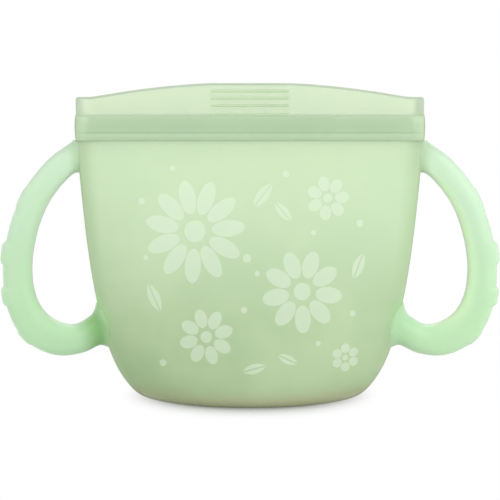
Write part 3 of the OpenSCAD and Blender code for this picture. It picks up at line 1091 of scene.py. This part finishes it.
def makeHandle(name, node, side):
    lastStation = len(handle["stations"]) - 1
    endIn = handle["endIn"]

    def place(column, row):
        t = endIn + (lastStation - 2 * endIn) * row / handle["rings"]
        low = t > lastStation / 2
        _, _, thickShare, depthShare = curveAt(handle["stations"], t)
        x, z = handleSpot(t)
        ahead, behind = handleSpot(t + 0.01), handleSpot(t - 0.01)
        dx, dz = ahead[0] - behind[0], ahead[1] - behind[1]
        nx, nz = -dz / math.hypot(dx, dz), dx / math.hypot(dx, dz)
        turn = 2 * math.pi * column / handle["sides"]
        out, across = barSide(math.cos(turn)), barSide(math.sin(turn))
        y = across * handle["depth"] * depthShare / 2
        r = out * handle["thick"] * thickShare / 2 + padRise(t) * max(0, out)
        r += math.copysign(handle["ridge"] * ridgeRise(y), out)
        spot = Vector((x + nx * r, y, z + nz * r))
        gap = max(0, spot.x - wallX(min(abs(y), halfDepth(z)), min(spot.z, wallTop)))
        f = handle["lowFillet" if low else "topFillet"]
        if gap < f:
            away = Vector((nx * out, across * handle["flareDepth"][low], nz * out))
            spot += away.normalized() * handle["flare"] * f * (1 - gap / f) ** 2
        return side * spot.x, spot.y, spot.z

    piece = closeUp(gridPiece(name, handle["sides"], handle["rings"], place))
    trimToWall(piece, side)
    selectOnly(piece)
    bpy.ops.object.shade_smooth_by_angle(angle=math.radians(50))
    # painted shade: a dark outline along the handle's outer and inner edges seen from the front
    paint(piece, "rim", lambda x, y, z: smoothStep(*handle["rim"], abs(y)))
    paint(piece, "depth", lambda x, y, z: handleShade(side, x, y, z))
    paint(piece, "root", lambda x, y, z: handleRoot(side, x, y, z))
    paint(piece, "crest", handleCrest)
    # Painted light: the skin that faces the cup is painted paler, on the right handle only
    glow = piece.data.attributes.new("pale", "FLOAT", "POINT")  # skin that faces the cup
    for vertex, spot in zip(piece.data.vertices, glow.data):
        turned = smoothStep(0, handle["glowTurn"], vertex.normal.x * side)
        spot.value = handle["innerGlow"][side] * turned
    piece.data.materials.append(materials["handle"])
    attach(piece, "cup")
    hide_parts(node)


# What trims a handle: a core of the cup's form, this much inside the wall's skin
trim = {"arc": 40, "rows": 60, "sunk": 0.06, "below": 0.02}


def trimToWall(piece, side):
    # the part of a handle that would lie inside the side strip, or above it, is cut away
    bpy.ops.object.mode_set(mode="EDIT")
    bpy.ops.mesh.select_all(action="SELECT")
    bpy.ops.mesh.bisect(plane_co=(0, 0, (wallTop - trim["below"]) * mm), plane_no=(0, 0, 1),
                        use_fill=True, clear_outer=True)
    bpy.ops.object.mode_set(mode="OBJECT")
    arc = trim["arc"]

    def place(column, row):
        z = (wallTop + 1) * row / trim["rows"]
        column %= arc + 3
        a, b, n = ovalAt(min(z, wallTop), trim["sunk"])
        reach = math.acos(((cutX(min(z, wallTop)) - 1) / a) ** (n / 2))
        turn = reach * (2 * min(column, arc) / arc - 1)
        y = math.copysign(b * abs(math.sin(turn)) ** (2 / n), turn)
        x = a * math.cos(turn) ** (2 / n)
        if column > arc:
            x, y = mouthHalf / 3, abs(y) if column == arc + 1 else -abs(y)
        return side * x, y, z

    core = closeUp(gridPiece("core", arc + 3, trim["rows"], place))
    bpy.context.view_layer.objects.active = piece
    cut = piece.modifiers.new("cut", "BOOLEAN")
    cut.operation = "DIFFERENCE"
    cut.solver = "EXACT"
    cut.object = core
    bpy.ops.object.modifier_apply(modifier=cut.name)
    bpy.data.objects.remove(core)


makeBowl()
makeStrip("leftStrip", "left_side_wall", -1)
makeStrip("rightStrip", "right_side_wall", 1)
print("bowl and side strips made")
for side, face in halves:
    makeWall(side, face, True)
    makeWall(side, face, False)
    makeBand(side, face)
    makeLip(side, face)
print("walls, bands and lips made")
makeGripRibs(-1)
makeGripRibs(1)
makeWeld("leftWeld", "left_zip_end", -1)
makeWeld("rightWeld", "right_zip_end", 1)
print("grip ribs and welds made")
makeHandle("leftHandle", "left_handle", -1)
makeHandle("rightHandle", "right_handle", 1)
print("handles made")

# Floor, world and lamps
studio = {
    "floorSize": 6, "floorColour": (0.85, 0.85, 0.85, 1), "floorLift": 0.12,
    "contactReach": 22 * mm, "contactRamp": (0.42, 0.82), "contactShadowColour": (0.42, 0.42, 0.40, 1),
    "shadeStretch": (0.85, 1, 1), "shadeShift": (0, 4 * mm, 0),
    "whiteFrom": 20 * mm, "whiteBeyond": 40 * mm,
    "skyColour": (0.97, 0.98, 1, 1), "skyStrength": 0.91,
    "aim": (0, 0, 50 * mm),
}
lamps = [  # name, place, size, watts
    ("keyLamp", (0.05, -0.7, 0.9), 0.8, 2.3),
    ("fillLamp", (0.75, -0.6, 0.4), 0.8, 3.6),
    ("sideLamp", (-0.8, -0.4, 0.35), 0.8, 1.1),
    ("backLamp", (0.1, 0.85, 0.85), 0.9, 5),
]


def backgroundRay(tree):
    path = addNode(tree, "LightPath").outputs
    seen = calc(tree, "MAXIMUM", path["Is Camera Ray"], path["Is Glossy Ray"])
    return calc(tree, "MAXIMUM", seen, path["Is Transmission Ray"])


def makeStudio():
    world = bpy.data.worlds.new("studioWorld")
    scene.world = world
    tree = emptyTree(world)
    sky = addNode(tree, "Background", {"Color": studio["skyColour"], "Strength": studio["skyStrength"]})
    white = addNode(tree, "Background", {"Color": (1, 1, 1, 1), "Strength": 1})
    mix = mixShader(tree, backgroundRay(tree), sky.outputs[0], white.outputs[0])
    addNode(tree, "OutputWorld", {"Surface": mix})

    bpy.ops.mesh.primitive_plane_add(size=studio["floorSize"], location=(0, 0, 0))
    floor = bpy.context.object
    floor.name = "floor"
    material = bpy.data.materials.new("paleFloor")
    tree = emptyTree(material)
    place = addNode(tree, "TexCoord").outputs["Object"]
    shift = addNode(tree, "VectorMath", {0: place, 1: studio["shadeStretch"],
                                         2: studio["shadeShift"]}, operation="MULTIPLY_ADD")
    reach = addNode(tree, "VectorMath", {0: shift.outputs[0]}, operation="LENGTH").outputs["Value"]
    share = ramp(tree, reach, studio["whiteFrom"], studio["whiteBeyond"], studio["floorLift"], 1)
    share = calc(tree, "MULTIPLY", backgroundRay(tree), share)
    # Painted shadow: the floor's colour darkens toward the contact shadow colour where ambient occlusion
    # finds the cup near
    contact = addNode(tree, "AmbientOcclusion", {"Distance": studio["contactReach"]}, samples=16)
    openness = ramp(tree, contact.outputs["AO"], *studio["contactRamp"], kind="LINEAR")
    shade = mixColour(tree, openness, studio["contactShadowColour"], studio["floorColour"])
    matt = addNode(tree, "BsdfDiffuse", {"Color": shade})
    white = addNode(tree, "Emission", {"Color": (1, 1, 1, 1), "Strength": 1})
    mix = mixShader(tree, share, matt.outputs[0], white.outputs[0])
    addNode(tree, "OutputMaterial", {"Surface": mix})
    floor.data.materials.append(material)

    for name, place, size, watts in lamps:
        bpy.ops.object.light_add(type="AREA", location=place)
        lamp = bpy.context.object
        lamp.name = name
        lamp.data.shape = "DISK"
        lamp.data.size = size
        lamp.data.energy = watts
        aim = Vector(studio["aim"]) - Vector(place)
        lamp.rotation_euler = aim.to_track_quat("-Z", "Y").to_euler()


makeStudio()
print("studio made")
